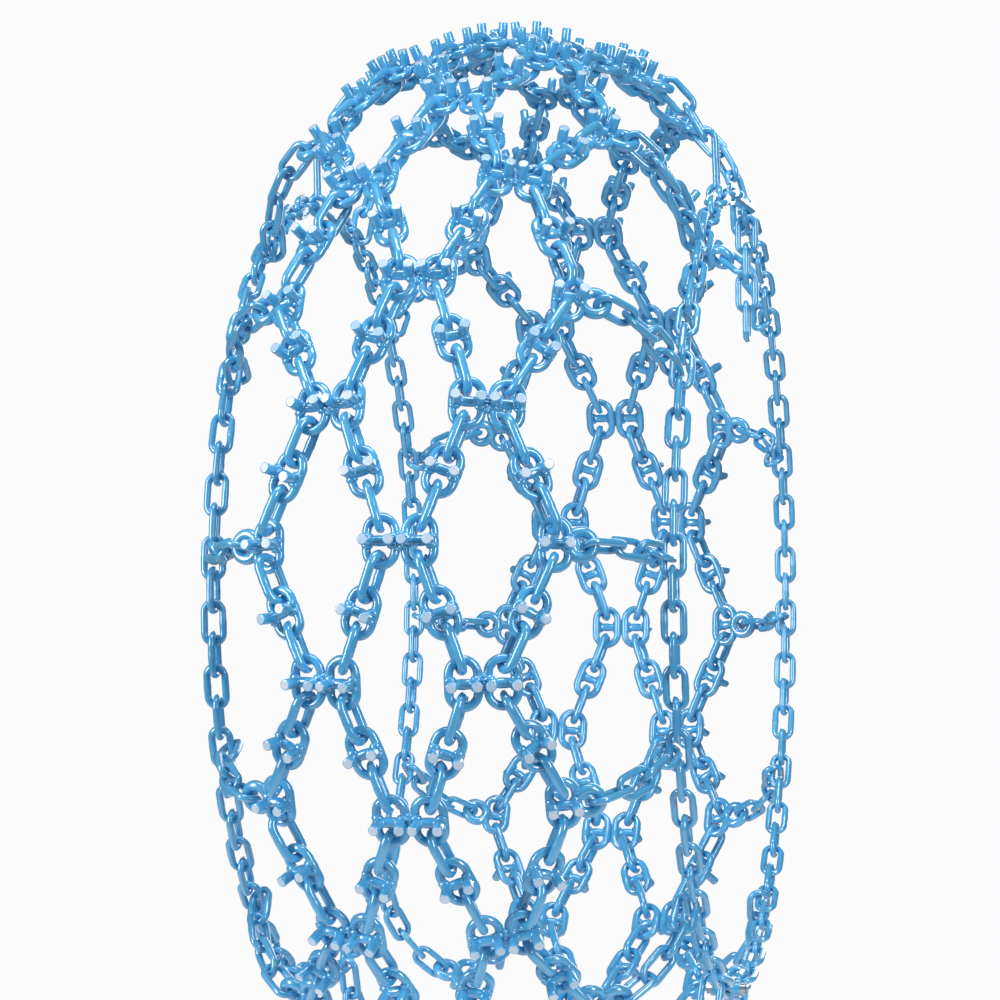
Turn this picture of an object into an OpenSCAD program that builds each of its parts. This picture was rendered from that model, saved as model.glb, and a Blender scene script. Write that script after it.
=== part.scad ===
// Studded snow chain for a 19.5L-24 tractor or loader tyre, in the shape that it takes on the wheel.
// The origin is the centre of the wheel. +Y is the axle, pointing to the outboard side of the wheel.
// +X is the front of the tyre and +Z is up. The tyre and the rim are not part of the model.

/* [Tyre] */
// Radius from the axle to the middle of the chain wire on the crown of the tread
crown_r = 665; // [600:5:800]
// Radius of the tread's curve from shoulder to shoulder
tread_arc_r = 338; // [280:2:420]
// Angle of the first crown stud pair above the level of the axle
phase = 5.3; // [0:0.1:12]

/* [Tread net] */
// Distance along the tread from the crown to the next row of welded pairs
column_gap = 85.5; // [70:0.5:105]
// Wire of the tread links
tread_wire = 10; // [8:0.5:12]
// Space between the legs of a studded link
stud_inner_w = 19.4; // [16:0.2:23]
// Space beside the wire that passes between the legs of a plain tread link
plain_side_room = 4.5; // [3:0.1:6]
// Gap between the two studded links of a welded pair
pair_seam = 0.6; // [0.2:0.1:1.5]
// Play left between two interlocked links
play = 1.4; // [1:0.1:1.8]
// Length of the weld between the two links of a welded pair
pair_weld_len = 13.7; // [10:0.1:18]
// Thickness of that weld
pair_weld_d = 7; // [6:0.1:8]
// Height of that weld above the middle of the links
pair_weld_lift = 3; // [2:0.1:4]
// Tilt of a plain link from lying flat on the tread
plain_roll = 79; // [75:1:90]
// How far a link may settle out of its even position, in degrees of roll
settle = 5; // [0:1:6]

/* [Studs] */
// Diameter of the round bar that the studs are bent from
stud_d = 11.6; // [9:0.2:13]
// Height of the stud tips above the middle of the link
stud_rise = 27; // [22:0.5:34]
// Half of the straight stretch between the two bends of the bar
bar_flat = 4.9; // [3:0.1:7]
// Radius of the bends, at the middle of the bar
stud_bend = 7.5; // [7:0.1:9]
// Outward lean of each stud
stud_splay = 5; // [0:1:10]
// How deep the bends of the bar are welded into the legs of the link
weld_sink = 2; // [1:0.1:3]
// How much thinner a round bar is in its bends
necking = 0.8; // [0.4:0.1:1.2]

/* [Edge rings] */
// Wire of the round ring at each end of a row
ring_wire = 12; // [10:0.5:12.5]
// Hole of the ring
ring_hole = 15; // [13.5:0.5:20]

/* [Side arms and side chains] */
// Radius of the side chains about the axle
side_r = 478; // [400:2:540]
// Distance of the side chains from the middle plane of the tyre
side_y = 257; // [230:1:300]
// Wire of the side chain links
side_wire = 8; // [7:0.5:9]
// Space beside the wire that passes between the legs of a side chain link
side_side_room = 5; // [4.5:0.1:8]
// Wire of the side arm links
arm_wire = 8.2; // [7:0.1:8.8]
// Space beside the ring's wire between the legs of a side arm link
arm_side_room = 2; // [1.5:0.1:4]
// Change of direction from one arm link to the next, over the shoulder
arm_turn = 12; // [0:1:16]

/* [Closures] */
// Round bar of the closing hooks and the arm hooks
hook_bar = 9; // [8:0.5:9.5]
// Length of a hook's tip past the wire that it holds
hook_tip = 9; // [6:0.5:14]
// Play between the bowl of a hook and the wire that it holds
hook_play = 2.1; // [1.5:0.1:2.5]
// How far the spare links hang from the middle of the link that carries them
tail_shift = 2; // [0:0.5:4]
// Wire of the joining shackle
shackle_wire = 9; // [8:0.5:10]
// Extra space between the legs of the shackle, over that of a side chain link
shackle_extra_w = 1; // [0:0.5:3]
// Diameter of the shackle bolt
shackle_bolt_d = 8; // [6:0.5:8.5]
// Clearance of the bolt in the eyes of the bow
bolt_clearance = 0.4; // [0.2:0.1:0.8]
// Metal around the bolt hole in the eyes of the bow
eye_wall = 4.8; // [4.2:0.1:6]
// How far the eyes stand proud of the bow's wire on each face
eye_proud = 0.5; // [0.3:0.1:1]
// Width of the nut across its flats, and diameter of the bolt's head
nut_w = 13; // [12:0.5:16]
// Height of the nut and of the bolt's head
nut_h = 6.5; // [5:0.5:8]
// Width of the hexagon socket in the head, across its flats
socket_w = 6; // [4:0.5:7]
// Depth of that socket
socket_depth = 3.5; // [2:0.5:4.5]
// Length of the bolt past its nut
bolt_end = 2; // [1:0.5:4]
// Gap between the bolt and the plain bore that stands for the nut's thread
thread_gap = 0.05; // [0.05:0.05:0.2]

/* [Hidden] */
$fn = 32;
rows = 14;
links_per_row = 6;
arm_links = 4;
paint = [0.33, 0.65, 0.85];
worn = [0.62, 0.70, 0.76];

function unit(v) = v / norm(v);
function turn(s) = s / tread_arc_r * 180 / PI;
function around(phi) = [-sin(phi), 0, cos(phi)];
function spoke(phi) = [cos(phi), 0, sin(phi)];
// A point of the tread, s along the curve from the crown, its outward normal, and the way across
function spot(phi, s) =
    (crown_r - tread_arc_r * (1 - cos(turn(s)))) * spoke(phi) + [0, tread_arc_r * sin(turn(s)), 0];
function outward(phi, s) = cos(turn(s)) * spoke(phi) + [0, sin(turn(s)), 0];
function across(phi, s) = -sin(turn(s)) * spoke(phi) + [0, cos(turn(s)), 0];

// Half of the angle between two nodes of a column
half_row = 180 / rows;
stud_w = stud_inner_w + 2 * tread_wire;
pair_gap = stud_w + pair_seam;
inner_near = pair_gap / 2;
inner_far = column_gap - pair_gap / 2;
outer_near = column_gap + pair_gap / 2;

// Where a strand meets a studded link of pitch p. A strand that leans from the link's own length
// slides round the link's end by the same angle.
function strand_tip(p, phi, s, way, lean) = spot(phi, s)
    + way * around(phi) * ((p + play - stud_inner_w) / 2 + (stud_inner_w - play) / 2 * cos(lean))
    + across(phi, s) * (stud_inner_w - play) / 2 * sin(lean);
function strand_lean(p, sa, sb) = atan2(sb - sa, crown_r * half_row * PI / 180 - p);
// Length of a strand from a link at s = sa to one at s = sb, half a row further round
function strand_len(p, sa, sb) = let (lean = strand_lean(p, sa, sb))
    norm(strand_tip(p, half_row, sb, -1, -lean) - strand_tip(p, 0, sa, 1, lean));
// The link pitch at which three links just span the inner strand
function solve_pitch(lo, hi, n) =
    let (m = (lo + hi) / 2)
    n == 0 ? m : strand_len(m, inner_near, inner_far) > 3 * m ? solve_pitch(m, hi, n - 1)
                                                              : solve_pitch(lo, m, n - 1);
// The place of the edge link at which three links just span the outer strand
function solve_edge(lo, hi, n) =
    let (m = (lo + hi) / 2)
    n == 0 ? m : strand_len(tread_pitch, outer_near, m) < 3 * tread_pitch ? solve_edge(m, hi, n - 1)
                                                                         : solve_edge(lo, m, n - 1);
tread_pitch = solve_pitch(10, 120, 30);
edge_s = solve_edge(outer_near, outer_near + 2 * tread_pitch, 30);
tread_inner = tread_pitch + play;
plain_inner_w = tread_wire + plain_side_room;
bent_d = stud_d - necking;
leg_y = (stud_inner_w + tread_wire) / 2;
// The bar lies as low as its bends let it, on the legs of the link
bend_reach = stud_bend + (bent_d + tread_wire) / 2 - weld_sink;
bar_lift = sqrt(pow(bend_reach, 2) - pow(leg_y - bar_flat, 2)) - stud_bend;
// How far a straight stretch of bar runs on into its bend
lap = 0.8;

ring_r = (ring_hole + ring_wire) / 2;
// The ring is welded with its wire in the leg of the edge link
ring_s = edge_s + leg_y + ring_r;

side_links = rows * links_per_row;
side_step = 360 / side_links;
side_pitch = 2 * side_r * tan(side_step / 2);
side_inner = side_pitch + play;
side_inner_w = side_wire + side_side_room;
arm_inner_w = ring_wire + arm_side_room;
side_bend = (side_inner_w + side_wire) / 2;
// Each side chain opens next to this arm, counted from 0, where the closing hook spans side links
hook_arm = 3;
hook_span = 4;
closing_from = hook_arm * links_per_row + 1;
closing_to = closing_from + hook_span;
// The joining shackle takes the place of this side link, the fourth after arm 10
shackle_arm = 10;
shackle_link = shackle_arm * links_per_row + 4;
// Turning by the golden angle from link to link, the settling shows no pattern
golden_angle = 137.5;

function arm_phi(i) = phase + i * 2 * half_row;
function side_phi(j) = phase + j * side_step;
function side_spot(j, side) = side_r * spoke(side_phi(j)) + [0, side * side_y, 0];
function wobble(k) = settle * sin(golden_angle * k);

// Puts a child with its length along one direction and its flat side facing another
module place(pos, along, up, roll = 0) {
    x = unit(along);
    y = unit(cross(up, x));
    z = cross(x, y);
    multmatrix([
        [x[0], y[0], z[0], pos[0]],
        [x[1], y[1], z[1], pos[1]],
        [x[2], y[2], z[2], pos[2]],
        [0, 0, 0, 1]
    ]) rotate([roll, 0, 0]) children();
}

// An oval link of round wire, long along X and flat in XY
module link(inner_len, inner_w, wire) {
    bend = (inner_w + wire) / 2;
    leg = inner_len - inner_w;
    for (s = [-1, 1]) {
        translate([-leg / 2, s * bend, 0]) rotate([0, 90, 0]) cylinder(h = leg, d = wire);
        translate([s * leg / 2, 0, 0]) rotate([0, 0, -s * 90]) rotate_extrude(angle = 180)
            translate([bend, 0]) circle(d = wire);
    }
}

// The U-shaped round bar: it crosses the link along Y and its ends stand up as studs
module stud_bar() {
    bend_z = bar_lift + stud_bend;
    stud_len = (stud_rise - bend_z + stud_bend * sin(stud_splay)) / cos(stud_splay);
    translate([0, 0, bar_lift]) rotate([90, 0, 0])
        cylinder(h = 2 * (bar_flat + lap), d = stud_d, center = true);
    for (m = [0, 1]) mirror([0, m, 0]) translate([0, bar_flat, bend_z]) rotate([-stud_splay, 0, 0]) {
        rotate([0, -90, 0]) rotate([0, 0, 90]) rotate_extrude(angle = 90 - stud_splay)
            translate([stud_bend, 0]) circle(d = bent_d);
        translate([0, stud_bend, 0]) cylinder(h = stud_len, d = stud_d);
    }
}

module stud_link() {
    link(tread_inner, stud_inner_w, tread_wire);
    stud_bar();
}

module plain_link() link(tread_inner, plain_inner_w, tread_wire);
module side_link() link(side_inner, side_inner_w, side_wire);

// The places of the tread: crown and edge nodes sit on the arm rows, the others half a row on
module at_tread(phi, s, roll = 0) place(spot(phi, s), around(phi), outward(phi, s), roll) children();

module stud_pairs(s, shift) {
    color(paint) for (i = [0 : rows - 1]) {
        phi = arm_phi(i) + shift;
        for (m = [-1, 1]) at_tread(phi, s + m * pair_gap / 2) stud_link();
        at_tread(phi, s) translate([0, 0, pair_weld_lift]) rotate([0, 90, 0])
            cylinder(h = pair_weld_len, d = pair_weld_d, center = true);
    }
}

// An edge node: a studded link with the round ring welded to its outer leg
module edge_studs(side) {
    color(paint) for (i = [0 : rows - 1]) {
        at_tread(arm_phi(i), side * edge_s) stud_link();
        at_tread(arm_phi(i), side * ring_s) rotate_extrude() translate([ring_r, 0]) circle(d = ring_wire);
    }
}

// Every strand between an arm row and the row half way to the next one, on one side of the crown.
// Links 0 and 2 of a strand are plain and link 1 is studded.
module strands(side, s_row, s_mid, studded) {
    for (i = [0 : rows - 1], way = [-1, 1]) {
        phi_a = arm_phi(i);
        phi_b = phi_a + way * half_row;
        lean = side * strand_lean(tread_pitch, s_row, s_mid);
        a = strand_tip(tread_pitch, phi_a, side * s_row, way, lean);
        b = strand_tip(tread_pitch, phi_b, side * s_mid, -way, -lean);
        up = outward((phi_a + phi_b) / 2, side * (s_row + s_mid) / 2);
        k = i * 2 + (way + 1) / 2;
        if (studded) place((a + b) / 2, b - a, up, wobble(k)) stud_link();
        else for (n = [0, 2])
            place(a + (b - a) * (n + 0.5) / 3, b - a, up, (n == 0 ? -1 : 1) * plain_roll + wobble(k + n))
                plain_link();
    }
}

module inner_strands(side, studded) color(paint) strands(side, inner_near, inner_far, studded);
module outer_strands(side, studded) color(paint) strands(side, edge_s, outer_near, studded);

// One side arm. Its four links turn over the shoulder by arm_turn each, from the ring's wire to the
// inboard leg of a side link that stands edge-on. All arms are alike, so their sizes come from the
// one at angle 0 on the outboard side.
function arm_way(side, phi, b) = [0, side * cos(b), 0] - sin(b) * spoke(phi);
function arm_up(side, phi, b) = [0, side * sin(b), 0] + cos(b) * spoke(phi);
function slope(side, phi, v) = atan2(-v * spoke(phi), side * v[1]);
function arm_ring(side, phi) = spot(phi, side * ring_s) + side * across(phi, side * ring_s) * ring_r;
function arm_hold(side, phi) = side_r * spoke(phi) + [0, side * (side_y - side_bend), 0];
function arm_beta(mean, k) = mean + (k - (arm_links - 1) / 2) * arm_turn;
arm_mean = slope(1, 0, arm_hold(1, 0) - arm_ring(1, 0));
function arm_top(side, phi) = arm_ring(side, phi)
    - arm_way(side, phi, arm_beta(arm_mean, 0)) * (ring_wire + play) / 2;
function arm_foot(side, phi) = arm_hold(side, phi)
    + arm_way(side, phi, arm_beta(arm_mean, arm_links - 1)) * (side_wire + play) / 2;
arm_chord = norm(arm_foot(1, 0) - arm_top(1, 0));
arm_pitch = arm_chord / (2 * cos(arm_turn / 2) + 2 * cos(3 * arm_turn / 2));
arm_line = slope(1, 0, arm_foot(1, 0) - arm_top(1, 0));
// The start of arm link k, and its direction angle
function arm_point(side, phi, k) = k == 0 ? arm_top(side, phi)
    : arm_point(side, phi, k - 1) + arm_pitch * arm_way(side, phi, arm_beta(arm_line, k - 1));
// The first and the last link of an arm stand nearly square to the ring and to the side link. The last
// one is off square by no more than the space between its neighbours in the side chain allows.
first_roll = 73;
off_square = 22;
arm_room = asin((side_inner / 2 - side_wire - arm_wire / 2 - play) * 2 / (arm_inner_w + arm_wire));
last_roll = 270 + min(off_square, arm_room);
arm_rolls = [for (k = [0 : arm_links - 1]) first_roll + (last_roll - first_roll) * k / (arm_links - 1)];
// Roll of the two links that are left where an arm hook takes the place of the others
hooked_rolls = [90, 180];

module arm(side, i, rolls = arm_rolls) {
    phi = arm_phi(i);
    color(paint) for (k = [0 : len(rolls) - 1]) {
        b = arm_beta(arm_line, k);
        place((arm_point(side, phi, k) + arm_point(side, phi, k + 1)) / 2, arm_way(side, phi, b),
              arm_up(side, phi, b), side * rolls[k]) link(arm_pitch + play, arm_inner_w, arm_wire);
    }
}

// Side chains: even links stand edge-on and carry the arms, odd links lie flat on the sidewall
function kept(side, j) = !(j > closing_from && j < closing_to) && !(side > 0 && j == shackle_link);
module side_chain(side, odd) {
    color(paint) for (j = [odd : 2 : side_links - 1])
        if (kept(side, j)) place(side_spot(j, side), around(side_phi(j)), [0, 1, 0],
            odd == 1 ? wobble(j) : 90 + (j % links_per_row == 0 ? 0 : wobble(j))) side_link();
}

// A hook of round bar. Its eye is round the origin, its shank runs along X to the wire that it
// holds at x = reach, and its tip comes down to -Z on the far side of that wire.
bent_bar = hook_bar - necking;
eye_r = side_wire / 2 + play + bent_bar / 2;
module hook(reach, held_wire) {
    bowl = held_wire / 2 + hook_play + hook_bar / 2;
    lean = asin(bowl / reach);
    run = reach * cos(lean) + lap;
    rotate([90, 0, 0]) rotate_extrude() translate([eye_r, 0]) circle(d = bent_bar);
    rotate([0, -lean, 0]) translate([eye_r, 0, 0]) rotate([0, 90, 0]) cylinder(h = run - eye_r, d = hook_bar);
    translate([reach, 0, 0]) {
        rotate([90, 0, 0]) rotate_extrude(angle = 90 + lean) translate([bowl, 0]) circle(d = bent_bar);
        translate([bowl, 0, -hook_tip]) cylinder(h = hook_tip + lap, d = hook_bar);
    }
}

// Closing hook of a side chain: its eye is on link closing_from and it holds link closing_to
side_apex = (side_inner + side_wire) / 2;
function closing_start(side) = side_spot(closing_from, side) + around(side_phi(closing_from)) * side_apex;
function closing_end(side) = side_spot(closing_to, side) - around(side_phi(closing_to)) * side_apex;
module closing_hook(side) {
    reach = norm(closing_end(side) - closing_start(side));
    color(paint) place(closing_start(side), closing_end(side) - closing_start(side), [0, side, 0])
        hook(reach, side_wire);
}

// Arm hook: its eye is on the side link and it holds the end of the arm's second link
function arm_grip(side, phi) = arm_point(side, phi, 2)
    + arm_way(side, phi, arm_beta(arm_line, 1)) * (play + arm_wire) / 2;
module arm_hook(side) {
    phi = arm_phi(hook_arm);
    from = arm_hold(side, phi);
    to = arm_grip(side, phi);
    color(paint) place(from, to - from, [0, side, 0]) hook(norm(to - from), arm_wire);
}

// Spare links that hang from the lower leg of the link held by the outboard closing hook
tail_turn = side_phi(closing_to);
tail_top = side_spot(closing_to, 1) - side_bend * spoke(tail_turn) + around(tail_turn) * tail_shift;
function tail_spot(n) = tail_top + [0, 0, side_wire / 2 + play - side_inner / 2 - (n - 1) * side_pitch];
module tail_link(n) {
    color(paint) place(tail_spot(n), [0, 0, -1], [0, 1, 0], n % 2 == 1 ? 90 : 0) side_link();
}

// Joining shackle in the outboard side chain: a bow with two bored eyes, a bolt and its nut
bow_bend = (side_inner_w + shackle_extra_w + shackle_wire) / 2;
bow_start = side_wire / 2 + play + shackle_wire / 2;
bow_span = 2 * side_pitch - 2 * side_apex + bow_start + side_wire / 2 + play + shackle_bolt_d / 2;
bolt_bore = shackle_bolt_d + bolt_clearance;
bow_eye_d = bolt_bore + 2 * eye_wall;
bow_eye_h = shackle_wire + 2 * eye_proud;
module at_shackle() {
    from = side_spot(shackle_link - 1, 1) + around(side_phi(shackle_link - 1)) * side_apex;
    to = side_spot(shackle_link + 1, 1) - around(side_phi(shackle_link + 1)) * side_apex;
    place(from, to - from, [0, 1, 0]) translate([-bow_start, 0, 0]) children();
}
module shackle_bow() {
    color(paint) at_shackle() {
        difference() {
            union() {
                translate([bow_bend, 0, 0]) rotate([90, 0, 0]) rotate([0, 0, 90])
                    rotate_extrude(angle = 180) translate([bow_bend, 0]) circle(d = shackle_wire - necking);
                for (s = [-1, 1]) {
                    translate([bow_bend - lap, 0, s * bow_bend]) rotate([0, 90, 0])
                        cylinder(h = bow_span - bow_bend + lap, d = shackle_wire);
                    translate([bow_span, 0, s * bow_bend])
                        cylinder(h = bow_eye_h, d = bow_eye_d, center = true);
                }
            }
            translate([bow_span, 0, 0]) cylinder(h = 4 * bow_bend, d = bolt_bore, center = true);
        }
    }
}
bow_face = bow_bend + bow_eye_h / 2;
bolt_len = 2 * bow_face + nut_h + bolt_end;
module shackle_bolt() {
    color(worn) at_shackle() translate([bow_span, 0, 0]) difference() {
        union() {
            translate([0, 0, bow_face - bolt_len]) cylinder(h = bolt_len, d = shackle_bolt_d);
            translate([0, 0, bow_face]) cylinder(h = nut_h, d = nut_w);
        }
        translate([0, 0, bow_face + nut_h - socket_depth])
            cylinder(h = socket_depth + lap, d = socket_w / cos(30), $fn = 6);
    }
}
module shackle_nut() {
    color(worn) at_shackle() translate([bow_span, 0, -bow_face - nut_h]) difference() {
        cylinder(h = nut_h, d = nut_w / cos(30), $fn = 6);
        translate([0, 0, -lap]) cylinder(h = nut_h + 2 * lap, d = shackle_bolt_d + 2 * thread_gap);
    }
}

stud_pairs(0, 0);  // crown_stud_pairs
stud_pairs(-column_gap, half_row);  // left_stud_pairs
stud_pairs(column_gap, half_row);  // right_stud_pairs
edge_studs(-1);  // left_edge_studs
edge_studs(1);  // right_edge_studs
outer_strands(-1, false);  // left_outer_links
inner_strands(-1, false);  // left_inner_links
inner_strands(1, false);  // right_inner_links
outer_strands(1, false);  // right_outer_links
outer_strands(-1, true);  // left_outer_studs
inner_strands(-1, true);  // left_inner_studs
inner_strands(1, true);  // right_inner_studs
outer_strands(1, true);  // right_outer_studs
arm(-1, 0);  // left_arm_01
arm(-1, 1);  // left_arm_02
arm(-1, 2);  // left_arm_03
arm(-1, 3, hooked_rolls);  // left_arm_04
arm(-1, 4);  // left_arm_05
arm(-1, 5);  // left_arm_06
arm(-1, 6);  // left_arm_07
arm(-1, 7);  // left_arm_08
arm(-1, 8);  // left_arm_09
arm(-1, 9);  // left_arm_10
arm(-1, 10);  // left_arm_11
arm(-1, 11);  // left_arm_12
arm(-1, 12);  // left_arm_13
arm(-1, 13);  // left_arm_14
arm(1, 0);  // right_arm_01
arm(1, 1);  // right_arm_02
arm(1, 2);  // right_arm_03
arm(1, 3, hooked_rolls);  // right_arm_04
arm(1, 4);  // right_arm_05
arm(1, 5);  // right_arm_06
arm(1, 6);  // right_arm_07
arm(1, 7);  // right_arm_08
arm(1, 8);  // right_arm_09
arm(1, 9);  // right_arm_10
arm(1, 10);  // right_arm_11
arm(1, 11);  // right_arm_12
arm(1, 12);  // right_arm_13
arm(1, 13);  // right_arm_14
side_chain(-1, 1);  // left_side_chain_flat
side_chain(-1, 0);  // left_side_chain_edge
side_chain(1, 1);  // right_side_chain_flat
side_chain(1, 0);  // right_side_chain_edge
closing_hook(-1);  // left_closing_hook
closing_hook(1);  // right_closing_hook
arm_hook(-1);  // left_arm_hook
arm_hook(1);  // right_arm_hook
tail_link(1);  // tail_link_1
tail_link(2);  // tail_link_2
tail_link(3);  // tail_link_3
tail_link(4);  // tail_link_4
shackle_bow();
shackle_bolt();
shackle_nut();
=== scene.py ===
import math
import random

import bpy
import numpy as np
from mathutils import Matrix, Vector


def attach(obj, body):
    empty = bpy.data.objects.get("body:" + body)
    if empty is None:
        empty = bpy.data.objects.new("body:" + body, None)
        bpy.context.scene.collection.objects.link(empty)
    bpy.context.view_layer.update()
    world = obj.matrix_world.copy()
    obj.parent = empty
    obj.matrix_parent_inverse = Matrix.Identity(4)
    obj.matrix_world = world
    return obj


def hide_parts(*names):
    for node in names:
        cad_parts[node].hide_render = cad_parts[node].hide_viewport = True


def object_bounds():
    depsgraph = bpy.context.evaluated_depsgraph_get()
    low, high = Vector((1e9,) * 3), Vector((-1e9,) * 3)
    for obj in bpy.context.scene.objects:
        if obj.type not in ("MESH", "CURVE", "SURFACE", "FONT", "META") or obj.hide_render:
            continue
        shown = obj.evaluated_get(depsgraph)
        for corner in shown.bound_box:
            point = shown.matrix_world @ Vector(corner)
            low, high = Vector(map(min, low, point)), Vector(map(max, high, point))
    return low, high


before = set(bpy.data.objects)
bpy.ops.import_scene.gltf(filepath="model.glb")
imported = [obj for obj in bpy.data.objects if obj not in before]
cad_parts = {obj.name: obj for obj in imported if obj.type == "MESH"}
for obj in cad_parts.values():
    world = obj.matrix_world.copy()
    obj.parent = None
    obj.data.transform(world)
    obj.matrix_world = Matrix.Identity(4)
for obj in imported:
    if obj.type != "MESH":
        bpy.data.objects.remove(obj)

cad_low, cad_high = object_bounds()

# The camera. It stands low in front of the tread, a little to the outboard side, with a long lens.
# Its level is that of the axle, so the crown of the net is seen straight on and the outboard side
# chain a little from outside.
CAMERA_PLACE = (4.098, 0.835, 0.0595)
CAMERA_RIGHT = (-0.20758, 0.97820, -0.00592)
CAMERA_UP = (0.01089, 0.00837, 0.99991)
CAMERA_BACK = (0.97816, 0.20749, -0.01239)
camera = bpy.data.objects.new("camera", bpy.data.cameras.new("camera"))
camera.data.sensor_width = 36
camera.data.lens = 122.8
turned = Matrix((CAMERA_RIGHT, CAMERA_UP, CAMERA_BACK)).transposed().to_4x4()
camera.matrix_world = Matrix.Translation(CAMERA_PLACE) @ turned
bpy.context.scene.collection.objects.link(camera)
bpy.context.scene.camera = camera


# The studio. A pale floor under the chain and a pale sky, with soft boxes to the left, the right,
# above and behind. Their long reflections are the white lines along the wires.
def linear(hex_colour):
    """Turns an sRGB hex colour into the linear one that the shaders take."""
    parts = [int(hex_colour[i:i + 2], 16) / 255 for i in (1, 3, 5)]
    return [p / 12.92 if p <= 0.04045 else ((p + 0.055) / 1.055) ** 2.4 for p in parts] + [1]


def add(tree, kind, settings=None, **inputs):
    """Adds a shader node with its settings, its values and its links."""
    made = tree.nodes.new(kind)
    for name, value in (settings or {}).items():
        setattr(made, name, value)
    for name, value in inputs.items():
        socket = made.inputs[int(name[1:]) if name[1:].isdigit() else name.replace("_", " ")]
        if isinstance(value, bpy.types.NodeSocket):
            tree.links.new(value, socket)
        else:
            socket.default_value = value
    return made


FLOOR_REACH = 2
FLOOR_FADE = (0.8, 1.7)
floor_mesh = bpy.data.meshes.new("floor")
corners = [(x * FLOOR_REACH, y * FLOOR_REACH, cad_low.z) for x, y in ((-1, -1), (1, -1), (1, 1), (-1, 1))]
floor_mesh.from_pydata(corners, [], [(0, 1, 2, 3)])
floor = bpy.data.objects.new("floor", floor_mesh)
bpy.context.scene.collection.objects.link(floor)
floor_paint = bpy.data.materials.new("matt studio floor")
floor_paint.use_nodes = True
tree = floor_paint.node_tree
floor_shader = tree.nodes["Principled BSDF"]
floor_shader.inputs["Base Color"].default_value = linear("#f4f5f6")
floor_shader.inputs["Roughness"].default_value = 0.9
floor_shader.inputs["Specular IOR Level"].default_value = 0.1
# The floor fades out into the sky, so no edge or horizon shows
spot = add(tree, "ShaderNodeTexCoord").outputs["Object"]
away = add(tree, "ShaderNodeVectorMath", {"operation": "LENGTH"}, i0=spot)
fade = add(tree, "ShaderNodeMapRange", {"interpolation_type": "SMOOTHSTEP"}, Value=away.outputs["Value"],
           i1=FLOOR_FADE[0], i2=FLOOR_FADE[1], i3=1.0, i4=0.0)
tree.links.new(fade.outputs[0], floor_shader.inputs["Alpha"])
floor_mesh.materials.append(floor_paint)

world = bpy.data.worlds.new("pale studio")
world.use_nodes = True
bpy.context.scene.world = world
sky = world.node_tree.nodes["Background"]
sky.inputs["Color"].default_value = linear("#f6f8fb")
sky.inputs["Strength"].default_value = 0.15
seen = add(world.node_tree, "ShaderNodeBackground", Color=linear("#fbfbfc"), Strength=1)
ray = add(world.node_tree, "ShaderNodeLightPath")
both = add(world.node_tree, "ShaderNodeMixShader", i0=ray.outputs["Is Camera Ray"],
           i1=sky.outputs[0], i2=seen.outputs[0])
world.node_tree.links.new(both.outputs[0], world.node_tree.nodes["World Output"].inputs["Surface"])
bpy.context.scene.view_settings.view_transform = "Standard"

SOFT_BOXES = {
    # name: place, size, watts
    "left box": ((2.6, -2.8, 0.8), (0.9, 2.8), 104),
    "right box": ((3.0, 2.9, 1.0), (0.8, 2.8), 90),
    "top box": ((1.2, 0.2, 3.2), (2.2, 0.9), 62),
    "back box": ((-3.4, 0.6, 1.2), (2.6, 2.6), 70),
}
for name, (place, size, watts) in SOFT_BOXES.items():
    box = bpy.data.lights.new(name, "AREA")
    box.shape = "RECTANGLE"
    box.size, box.size_y = size
    box.energy = watts
    lamp = bpy.data.objects.new(name, box)
    lamp.matrix_world = Matrix.LocRotScale(place, (-Matrix.Translation(place).translation)
                                           .to_track_quat("-Z", "Y"), None)
    lamp.visible_camera = False
    bpy.context.scene.collection.objects.link(lamp)


# The plain links of the tread net. They are bent from 10 mm alloy steel rod, butt welded in the
# middle of one leg, and the finished net is dipped in gloss enamel. They stand nearly edge-on
# between the studded ones. The weld is a low swelling with a fine notch round its middle.
MM = 0.001
TREAD_WIRE = 10
WIRE_SIDES = 16
BEND_RINGS = 15
WELD_SWELL = 0.1
WELD_NOTCH = 0.05
WELD_REACH = 2.8
NOTCH_REACH = 0.8
BEND_THINNING = 0.985
LEG_STOPS = (1, 0.5, 0.22, 0.1, 0.05, 0, -0.05, -0.1, -0.22, -0.5)


def sweep(path, radii, flat, closed=True, sides=WIRE_SIDES):
    """A round bar along a path that lies in the plane square to flat. Sizes are in millimetres."""
    path, radii, flat = np.array(path, float), np.array(radii, float), np.array(flat, float)
    count = len(path)
    along = np.roll(path, -1, 0) - np.roll(path, 1, 0) if closed else np.gradient(path, axis=0)
    along /= np.linalg.norm(along, axis=1)[:, None]
    out = np.cross(along, flat)
    turn = np.linspace(0, 2 * math.pi, sides, endpoint=False)[None, :, None]
    points = path[:, None] + radii[:, None, None] * (np.cos(turn) * out[:, None] + np.sin(turn) * flat)
    faces = []
    for i in range(count if closed else count - 1):
        for j in range(sides):
            a, b = i * sides, (i + 1) % count * sides
            faces.append((a + j, b + j, b + (j + 1) % sides, a + (j + 1) % sides))
    if not closed:
        faces.append(tuple(range(sides)))
        faces.append(tuple(reversed(range((count - 1) * sides, count * sides))))
    return points.reshape(-1, 3), faces


def merge(*shapes):
    """Several shapes as one. A shape is its points, its faces and how pale each point is painted, for
    worn paint and a painted highlight.
    """
    points, faces, wear_and_highlight = [], [], []
    for shape in shapes:
        start = sum(len(p) for p in points)
        points.append(shape[0])
        faces += [tuple(start + v for v in f) for f in shape[1]]
        wear_and_highlight.append(shape[2] if len(shape) > 2 else np.zeros(len(shape[0])))
    return np.concatenate(points), faces, np.concatenate(wear_and_highlight)


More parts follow.
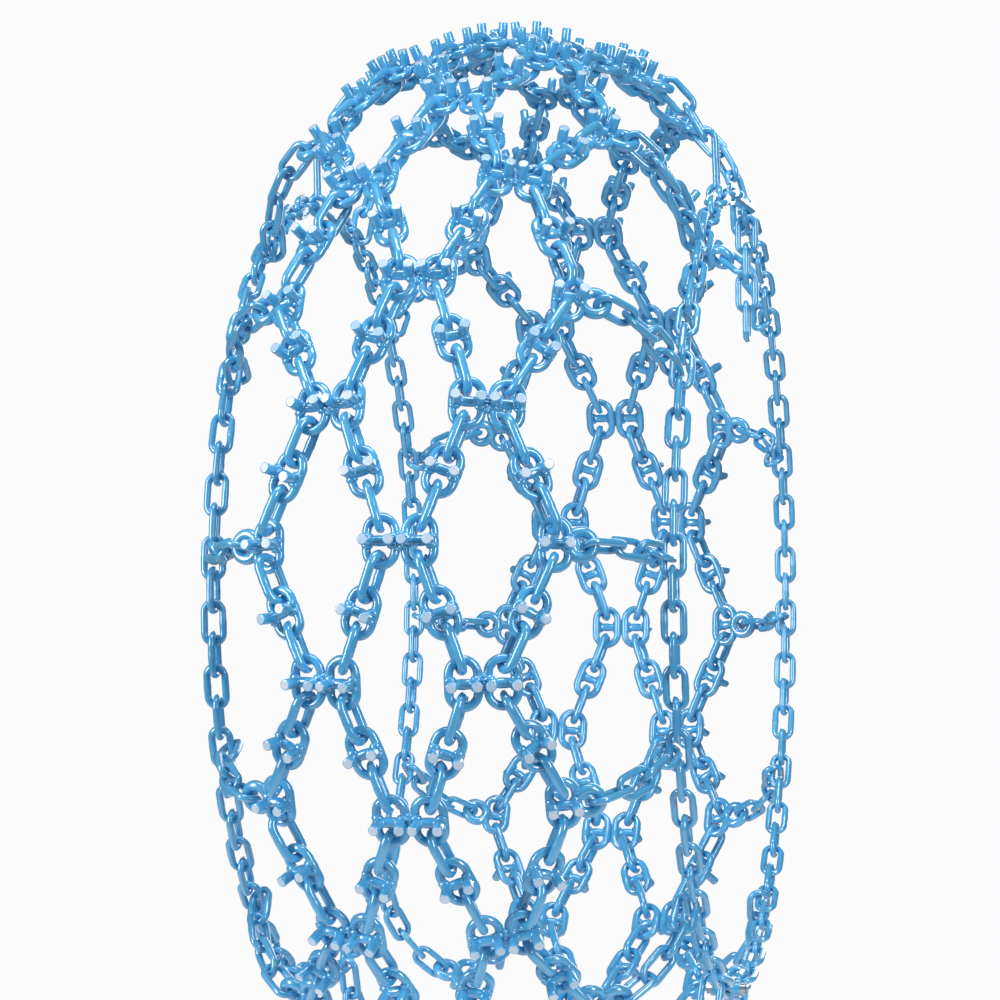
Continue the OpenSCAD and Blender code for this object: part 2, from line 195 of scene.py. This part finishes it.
def link_shape(length, width, wire, weld_side=1):
    """An oval link, long along X and flat in XY, with the swelling of its butt weld on one leg."""
    bend = (width - wire) / 2
    leg = length - width
    path, radii = [], []
    for side in (1, -1):
        for stop in LEG_STOPS:
            x = side * leg / 2 * stop
            path.append((x, side * bend, 0))
            swell = WELD_SWELL * math.exp(-(x / WELD_REACH) ** 2)
            notch = WELD_NOTCH * math.exp(-(x / NOTCH_REACH) ** 2)
            radii.append(wire / 2 * (1 + (swell - notch if side == weld_side else 0)))
        for a in np.linspace(90, 270, BEND_RINGS, endpoint=False):
            turn = math.radians(a if side == 1 else a + 180)
            path.append((-side * leg / 2 + bend * math.cos(turn), bend * math.sin(turn), 0))
            radii.append(wire / 2 * BEND_THINNING)
    return merge(sweep(path, radii, (0, 0, 1)))


def solids_of(node):
    """The points of each separate solid of a CAD node, in millimetres, with its triangles."""
    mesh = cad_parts[node].data
    points = np.empty(len(mesh.vertices) * 3)
    mesh.vertices.foreach_get("co", points)
    mesh.calc_loop_triangles()
    corners = np.empty(len(mesh.loop_triangles) * 3, dtype=np.int64)
    mesh.loop_triangles.foreach_get("vertices", corners)
    points, same = np.unique(np.round(points.reshape(-1, 3), 7), axis=0, return_inverse=True)
    triangles = same.reshape(-1)[corners].reshape(-1, 3)
    group = np.arange(len(points))
    while True:
        low = group[triangles].min(axis=1)
        after = group.copy()
        for k in range(3):
            np.minimum.at(after, triangles[:, k], low)
        after = after[after]
        if (after == group).all():
            break
        group = after
    return [(points / MM, triangles[group[triangles[:, 0]] == g]) for g in np.unique(group)]


def seats(node, order="xyz", wire=0, tall=False, ring=0):
    """The place and the axes of each solid of a CAD node, found from its mass. order says which
    axes its mass is spread along, from most to least. tall is a solid that stands up from its
    link on the outer side. ring is the width of a ring on its far side."""
    found = []
    for points, triangles in solids_of(node):
        used = np.unique(triangles)
        middle = points[used].mean(axis=0)
        a, b, c = (points[triangles[:, k]] - middle for k in range(3))
        share = np.einsum("ij,ij->i", a, np.cross(b, c))
        centre = (share[:, None] * (a + b + c)).sum(axis=0) / share.sum() / 4
        a, b, c = a - centre, b - centre, c - centre
        spread = sum(np.einsum("i,ij,ik->jk", share, p, q) for p in (a, b, c) for q in (a, b, c))
        spread += sum(np.einsum("i,ij,ik->jk", share, p, p) for p in (a, b, c))
        axes = np.linalg.eigh(spread / share.sum())[1][:, ::-1].T
        axis = {letter: axes[k] for k, letter in enumerate(order)}
        local = points[used] - middle - centre
        if ring:
            across = local @ axis["y"]
            if -across.min() > across.max():
                axis["y"], across = -axis["y"], -across
            far = local[across > across.max() - ring]
            flat = np.linalg.eigh(np.cov((far - far.mean(axis=0)).T))[1][:, 0]
            axis["z"] = flat
            axis["y"] = np.cross(flat, axis["x"]) * np.sign(np.cross(flat, axis["x"]) @ axis["y"])
        heights = local @ axis["z"]
        if tall and -heights.min() > heights.max():
            axis["z"] = -axis["z"]
        axis["x"] = np.cross(axis["y"], axis["z"])
        turn = np.stack([axis["x"], axis["y"], axis["z"]])
        low, high = (local @ turn.T).min(axis=0), (local @ turn.T).max(axis=0)
        seat = (low + high) / 2
        if tall:
            seat[2] = low[2] + wire / 2
        found.append((middle + centre + seat @ turn, turn, high - low))
    return found


def lay(name, node, shapes, places, material, body="root"):
    """One piece of many copies of the shapes, one at each place. It stands for the CAD node."""
    points, faces, wear_and_highlight, start = [], [], [], 0
    for k, (place, turn, _) in enumerate(places):
        shape = shapes[k % len(shapes)]
        points.append((shape[0] @ turn + place) * MM)
        faces += [tuple(start + v for v in f) for f in shape[1]]
        wear_and_highlight.append(shape[2])
        start += len(shape[0])
    mesh = bpy.data.meshes.new(name)
    mesh.from_pydata(np.concatenate(points).tolist(), [], faces)
    mesh.polygons.foreach_set("use_smooth", [True] * len(faces))
    # This attribute carries the pale tip colour: worn paint and a painted highlight.
    mesh.attributes.new("wear_and_highlight", "FLOAT", "POINT").data.foreach_set("value", np.concatenate(wear_and_highlight))
    mesh.materials.append(material)
    piece = bpy.data.objects.new(name, mesh)
    bpy.context.scene.collection.objects.link(piece)
    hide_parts(node)
    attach(piece, body)
    return piece


# Gloss alkyd enamel, dipped. The eye sees a deep light blue under a clear wet-looking film, with
# a faint orange peel from the dip, and cut rod ends where the film is thin over bright steel. The stud
# tips are painted a pale bluish white, partly for that thin worn paint and partly as a painted highlight.
PEEL_GRAIN = 2.4
BATCH_GRAIN = 55
WEAR_GRAIN = 1.6
enamel = bpy.data.materials.new("gloss alkyd enamel on steel")
enamel.use_nodes = True
tree = enamel.node_tree
paint = tree.nodes["Principled BSDF"]
where = add(tree, "ShaderNodeTexCoord").outputs["Object"]
batch = add(tree, "ShaderNodeTexNoise", Vector=where, Scale=1 / (BATCH_GRAIN * MM), Detail=2.0)
tone = add(tree, "ShaderNodeMix", {"data_type": "RGBA"}, i0=batch.outputs["Fac"],
           i6=linear("#2f99d2"), i7=linear("#58b9ea"))
# The pale bluish white on the stud tips is partly worn thin paint and partly a painted highlight.
wear_and_highlight = add(tree, "ShaderNodeAttribute", {"attribute_name": "wear_and_highlight"})
tip_patches = add(tree, "ShaderNodeTexNoise", Vector=where, Scale=1 / (WEAR_GRAIN * MM), Detail=4.0)
patchy = add(tree, "ShaderNodeMath", {"operation": "MULTIPLY_ADD"}, i0=tip_patches.outputs["Fac"],
             i1=0.8, i2=0.6)
worn_and_highlight = add(tree, "ShaderNodeMath", {"operation": "MULTIPLY", "use_clamp": True},
           i0=wear_and_highlight.outputs["Fac"], i1=patchy.outputs[0])
colour = add(tree, "ShaderNodeMix", {"data_type": "RGBA"}, i0=worn_and_highlight.outputs[0],
             i6=tone.outputs[2], i7=linear("#dce7f6"))
tree.links.new(colour.outputs[2], paint.inputs["Base Color"])
gloss = add(tree, "ShaderNodeMapRange", Value=batch.outputs["Fac"], i3=0.22, i4=0.36)
tree.links.new(gloss.outputs[0], paint.inputs["Roughness"])
peel = add(tree, "ShaderNodeTexNoise", Vector=where, Scale=1 / (PEEL_GRAIN * MM), Detail=1.0)
skin = add(tree, "ShaderNodeBump", Height=peel.outputs["Fac"], Strength=0.35, Distance=0.25 * MM)
tree.links.new(skin.outputs["Normal"], paint.inputs["Normal"])
paint.inputs["IOR"].default_value = 1.6
paint.inputs["Coat Weight"].default_value = 1
paint.inputs["Coat IOR"].default_value = 1.85
paint.inputs["Coat Roughness"].default_value = 0.12

random.seed(4)
for node in ("left_outer_links", "left_inner_links", "right_inner_links", "right_outer_links"):
    places = seats(node)
    length, width, _ = places[0][2]
    shapes = [link_shape(length, width, TREAD_WIRE, side) for side in (1, -1)]
    random.shuffle(places)
    lay(node + "_piece", node, shapes, places, enamel)

# The studded links. Each is a wide link with a U of 11.6 mm round bar welded across its legs, and
# the two upright ends of the bar are the studs. They are sheared flat, so the tips are discs.
STUD_BAR = 11.6
BENT_BAR = 10.8
STUD_RISE = 27
BAR_FLAT = 4.9
STUD_BEND = 7.5
STUD_SPLAY = math.radians(5)
BAR_LIFT = 5.02
TIP_CHAMFER = 0.7
# How pale each stud tip is painted: worn paint and a painted highlight on the flat face.
TIP_WEAR_AND_HIGHLIGHT = (0.45, 1)
WELD_UNEVEN = 0.08


def blob(centre, size, seed):
    """A lump of weld: a ball squeezed to size, with an uneven skin."""
    uneven = random.Random(seed)
    points, faces = [], []
    rings, sides = 7, 10
    for i in range(1, rings):
        for j in range(sides):
            up, turn = math.pi * i / rings, 2 * math.pi * j / sides
            grow = 1 + uneven.uniform(-WELD_UNEVEN, WELD_UNEVEN)
            points.append((centre[0] + size[0] * grow * math.cos(up),
                           centre[1] + size[1] * grow * math.sin(up) * math.cos(turn),
                           centre[2] + size[2] * grow * math.sin(up) * math.sin(turn)))
    for i in range(rings - 2):
        for j in range(sides):
            a, b = i * sides, (i + 1) * sides
            faces.append((a + j, b + j, b + (j + 1) % sides, a + (j + 1) % sides))
    faces.append(tuple(range(sides)))
    faces.append(tuple(reversed(range((rings - 2) * sides, (rings - 1) * sides))))
    return np.array(points), faces


def stud_bar(seed):
    """The U of round bar, in the YZ plane of its link. Each tip is painted pale, partly for paint worn
    off and partly as a painted highlight.
    """
    bend_z = BAR_LIFT + STUD_BEND
    length = (STUD_RISE - bend_z + STUD_BEND * math.sin(STUD_SPLAY)) / math.cos(STUD_SPLAY)
    half, radii = [], []
    paling_chance = random.Random(seed)
    for y in (0, 0.5 * BAR_FLAT):
        half.append((y, BAR_LIFT))
        radii.append(STUD_BAR / 2)
    for k in range(7):
        a = k / 6 * (math.pi / 2 - STUD_SPLAY)
        half.append((BAR_FLAT + STUD_BEND * math.sin(a), bend_z - STUD_BEND * math.cos(a)))
        radii.append(BENT_BAR / 2 if 0 < k < 6 else (STUD_BAR + BENT_BAR) / 4)
    base = np.array(half[-1])
    up = np.array((math.sin(STUD_SPLAY), math.cos(STUD_SPLAY)))
    steps = [(0.12, 1), (0.6, 1), (1 - 1.2 * TIP_CHAMFER / length, 1), (1 - TIP_CHAMFER / length, 0.99),
             (1 - 0.04 / length, 1 - 2 * TIP_CHAMFER / STUD_BAR), (1 - 0.02 / length, 0.78), (1, 0.3)]
    # The last rings of each tip are painted pale: worn paint and a painted highlight.
    tip_wear_and_highlight = np.zeros(len(half))
    for (share, size), worn_and_highlight in zip(steps, (0, 0, 0, 0, 0.3, 1, 1)):
        half.append(tuple(base + up * length * share))
        radii.append(STUD_BAR / 2 * size)
        tip_wear_and_highlight = np.append(tip_wear_and_highlight, worn_and_highlight)
    path = [(0, -y, z) for y, z in reversed(half[1:])] + [(0, y, z) for y, z in half]
    points, faces = sweep(path, radii[:0:-1] + radii, (1, 0, 0), closed=False)
    tips = [tip_wear_and_highlight[:0:-1] * paling_chance.uniform(*TIP_WEAR_AND_HIGHLIGHT), tip_wear_and_highlight * paling_chance.uniform(*TIP_WEAR_AND_HIGHLIGHT)]
    return points, faces, np.repeat(np.concatenate(tips), WIRE_SIDES)


def stud_link_shape(length, width, wire, seed):
    """A wide link with its stud bar and the four lumps of weld that hold it."""
    leg_y = (width - wire) / 2
    welds = [blob((sx * 4.8, sy * (leg_y - 1.6), 3.6), (4.2, 6.6, 4.6), seed * 10 + 2 * sx + sy)
             for sx in (-1, 1) for sy in (-1, 1)]
    return merge(link_shape(length, width, wire), stud_bar(seed), *welds)


for node in ("left_outer_studs", "left_inner_studs", "right_inner_studs", "right_outer_studs"):
    places = seats(node, wire=TREAD_WIRE, tall=True)
    length, width, _ = places[0][2]
    shapes = [stud_link_shape(length, width, TREAD_WIRE, seed) for seed in range(1, 8)]
    lay(node + "_piece", node, shapes, places, enamel)

# The crossings of the net. Two studded links lie side by side and are welded leg to leg, with a
# bead of weld in the groove between them.
SEAM_GAP = 0.6


def shifted(shape, x=0, y=0, z=0):
    """A shape moved in its own axes."""
    return shape[0] + np.array((x, y, z)), *shape[1:]


def pair_shape(length, width, seed):
    """Two studded links with the bead between them."""
    one = (width - SEAM_GAP) / 2
    halves = [shifted(stud_link_shape(length, one, TREAD_WIRE, seed + s), y=s * (one + SEAM_GAP) / 2)
              for s in (-1, 1)]
    bead = [blob((x, 0, 3.6), (3.2, 4.6, 3.8), seed * 7 + x) for x in (-8, -4, 0, 4, 8)]
    return merge(*halves, *bead)


for node in ("left_stud_pairs", "crown_stud_pairs", "right_stud_pairs"):
    places = seats(node, order="yxz", wire=TREAD_WIRE, tall=True)
    length, width, _ = places[0][2]
    shapes = [pair_shape(length, width, seed) for seed in (3, 8, 12, 17, 23)]
    lay(node + "_piece", node, shapes, places, enamel)

# The edge nodes, one at each end of a row. A studded link has a round ring of 12 mm rod welded to
# its outer leg, and the side arm hangs in the ring.
RING_WIRE = 12
RING_HOLE = 15
RING_RINGS = 36


def edge_shape(length, width, seed):
    """A studded link with its ring, and the two lumps of weld where the ring meets the leg."""
    ring_r = (RING_HOLE + RING_WIRE) / 2
    link_w = width - ring_r * 2 - RING_WIRE / 2 + TREAD_WIRE / 2
    leg_y = (link_w - TREAD_WIRE) / 2
    turns = [2 * math.pi * k / RING_RINGS for k in range(RING_RINGS)]
    path = [(ring_r * math.cos(t), leg_y + ring_r + ring_r * math.sin(t), 0) for t in turns]
    ring = sweep(path, [RING_WIRE / 2] * RING_RINGS, (0, 0, 1))
    lumps = [blob((s * 9.5, leg_y + 2.6, 2), (4.4, 3.6, 4.2), 31 + s) for s in (-1, 1)]
    whole = merge(stud_link_shape(length, link_w, TREAD_WIRE, seed), ring, *lumps)
    return shifted(whole, y=link_w / 2 - width / 2)


for node in ("left_edge_studs", "right_edge_studs"):
    places = seats(node, order="yxz", wire=RING_WIRE, tall=True, ring=16)
    length, width, _ = places[0][2]
    shapes = [edge_shape(length, width, seed) for seed in (5, 9, 14)]
    lay(node + "_piece", node, shapes, places, enamel)

# The side arms. Four links of 8.2 mm rod run from each ring over the shoulder to the side chain,
# each turned nearly a quarter from the last. The arm under an arm hook has two.
ARM_WIRE = 8.2
for node in sorted(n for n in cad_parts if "_arm_" in n and "hook" not in n):
    places = seats(node)
    length, width, _ = places[0][2]
    shapes = [link_shape(length, width, ARM_WIRE, side) for side in (1, -1)]
    lay(node + "_piece", node, shapes, places, enamel)

# The side chains. They are 8 mm welded chain, one round each sidewall. Their links lie flat and
# stand edge-on by turns, and an edge-on one carries each arm.
SIDE_WIRE = 8
for node in sorted(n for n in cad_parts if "side_chain" in n):
    places = seats(node)
    length, width, _ = places[0][2]
    shapes = [link_shape(length, width, SIDE_WIRE, side) for side in (1, -1, -1)]
    lay(node + "_piece", node, shapes, places, enamel)

# The spare end of the outboard side chain. It hangs from the link that the closing hook holds.
for node in sorted(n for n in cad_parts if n.startswith("tail_link")):
    places = seats(node)
    length, width, _ = places[0][2]
    lay(node + "_piece", node, [link_shape(length, width, SIDE_WIRE)], places, enamel, body=node)

# The closing hooks and the arm hooks, bent from round bar, and the bow of the joining shackle with
# its two forged eyes. They are dipped with the net and carry the same enamel.
for node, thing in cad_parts.items():
    if "hook" in node or node == "shackle_bow":
        thing.data.materials.clear()
        thing.data.materials.append(enamel)

# The shackle's bolt and nut, of zinc plated steel with a clear passivation. The eye sees a pale,
# faintly bluish metal with a fine grain, duller in places where it was handled.
PLATE_GRAIN = 0.9
HANDLED_GRAIN = 7
zinc = bpy.data.materials.new("zinc plated steel")
zinc.use_nodes = True
tree = zinc.node_tree
plate = tree.nodes["Principled BSDF"]
where = add(tree, "ShaderNodeTexCoord").outputs["Object"]
handled = add(tree, "ShaderNodeTexNoise", Vector=where, Scale=1 / (HANDLED_GRAIN * MM), Detail=3.0)
tone = add(tree, "ShaderNodeMix", {"data_type": "RGBA"}, i0=handled.outputs["Fac"],
           i6=linear("#b4bbc2"), i7=linear("#d3d9dd"))
tree.links.new(tone.outputs[2], plate.inputs["Base Color"])
dull = add(tree, "ShaderNodeMapRange", Value=handled.outputs["Fac"], i3=0.24, i4=0.42)
tree.links.new(dull.outputs[0], plate.inputs["Roughness"])
grain = add(tree, "ShaderNodeTexNoise", Vector=where, Scale=1 / (PLATE_GRAIN * MM), Detail=2.0)
skin = add(tree, "ShaderNodeBump", Height=grain.outputs["Fac"], Strength=0.25, Distance=0.05 * MM)
tree.links.new(skin.outputs["Normal"], plate.inputs["Normal"])
plate.inputs["Metallic"].default_value = 1
for node in ("shackle_bolt", "shackle_nut"):
    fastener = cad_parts[node].data
    fastener.materials.clear()
    fastener.materials.append(zinc)
